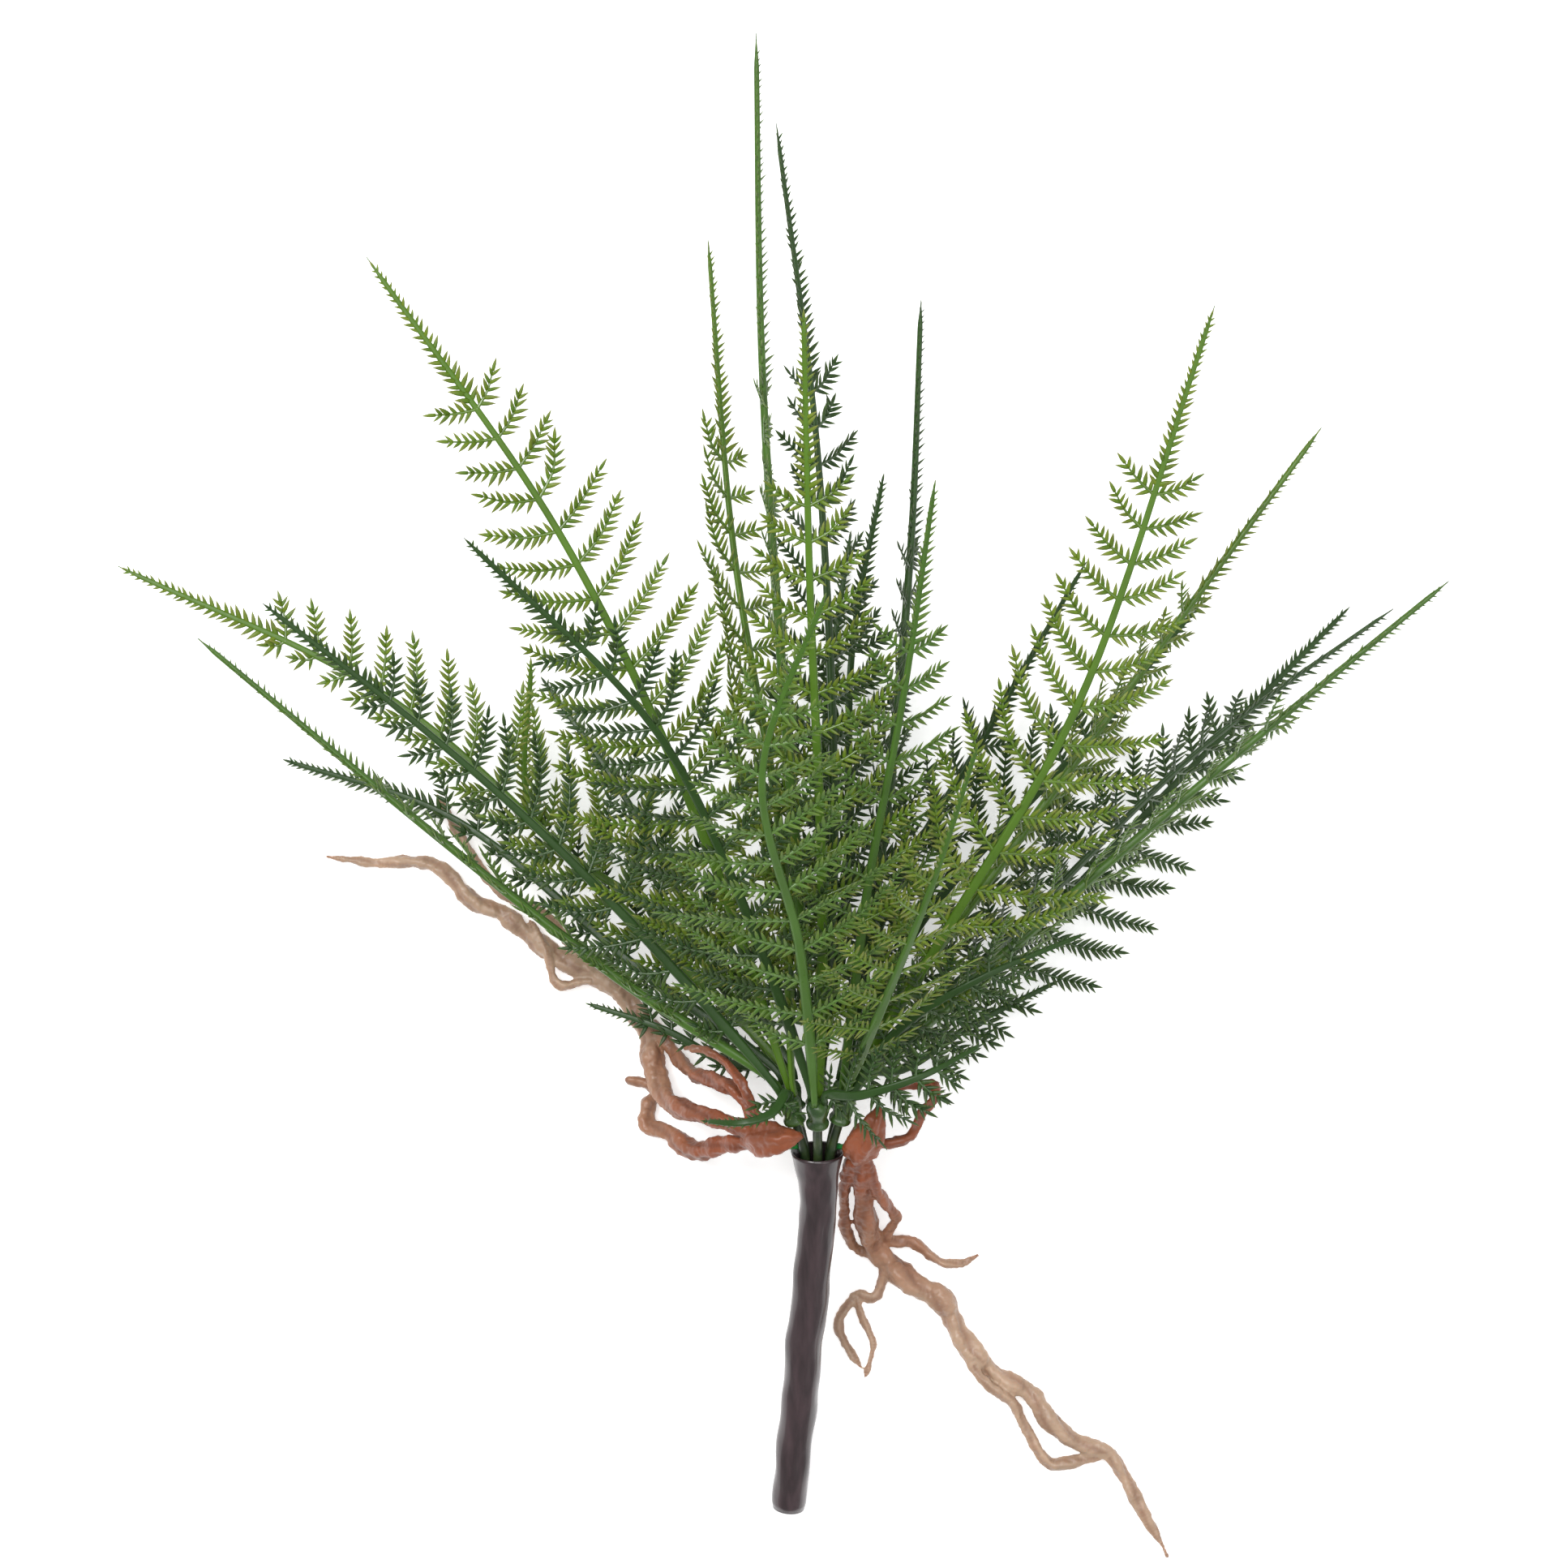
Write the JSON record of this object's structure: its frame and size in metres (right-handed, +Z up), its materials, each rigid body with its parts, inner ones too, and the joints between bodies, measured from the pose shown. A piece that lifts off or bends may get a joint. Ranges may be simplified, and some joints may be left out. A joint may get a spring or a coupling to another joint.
{
  "type": "artificial fern pick",
  "caption": "Moulded plastic fern pick lying on its side: a brown stem with a flared mouth, feathery green fronds in sprays and two clusters of rubbery aerial roots.",
  "frame": {"origin": "centre of the bounding box seen from above, on the surface the pick lies on", "axes": "+Y from the cut end of the stem towards the fronds, +Z up from the surface, +X to the right with the stem towards the viewer"},
  "size_m": [0.41, 0.4709, 0.19],
  "materials": {
    "dark": "soft moulded leaf in dark bluish green, with a slight sheen",
    "green": "soft moulded leaf in mid green, with a slight sheen",
    "light": "soft moulded leaf in yellow green, with a slight sheen",
    "stalk": "plastic rod in green, satin",
    "peg": "moulded plug in bright green",
    "stem": "dark purplish brown, glossy and slightly uneven",
    "root": "soft moulded root, brown at the bulb and cream at the tips"
  },
  "bodies": {
    "root": {"stem": "stem", "stalk_front": "stalk", "foot_front": "green", "stalk_left": "stalk", "foot_left": "green", "stalk_back_left": "stalk", "foot_back_left": "green", "stalk_back": "stalk", "foot_back": "green", "stalk_back_right": "stalk", "foot_back_right": "green", "stalk_right": "stalk", "foot_right": "green", "root_peg_left": "peg", "root_peg_right": "peg", "roots_left": "root", "roots_right": "root", "frond_front_centre": "green", "frond_front_left": "dark", "frond_light_centre": "light", "frond_low_right_front": "dark", "frond_light_left": "light", "frond_far_left_dark": "dark", "frond_edge_left": "green", "frond_mid_left_light": "light", "frond_low_left_curl": "dark", "frond_far_left_light": "light", "frond_low_left_dark": "dark", "frond_back_left_light": "light", "frond_back_left_dark": "dark", "frond_low_left_back": "dark", "frond_tallest": "green", "frond_tall_dark": "dark", "frond_back_centre": "dark", "frond_back_centre_low": "dark", "frond_right_edge": "light", "frond_right_far_dark": "dark", "frond_right_far_low": "dark", "frond_right_back_dark": "dark", "frond_right_up_dark": "dark", "frond_low_right_dark": "dark", "frond_thin_right": "dark", "frond_right_centre": "green", "frond_right_light": "light", "frond_right_far_green": "green", "frond_right_front": "green", "frond_low_right_curl": "dark"}
  },
  "joints": []
}
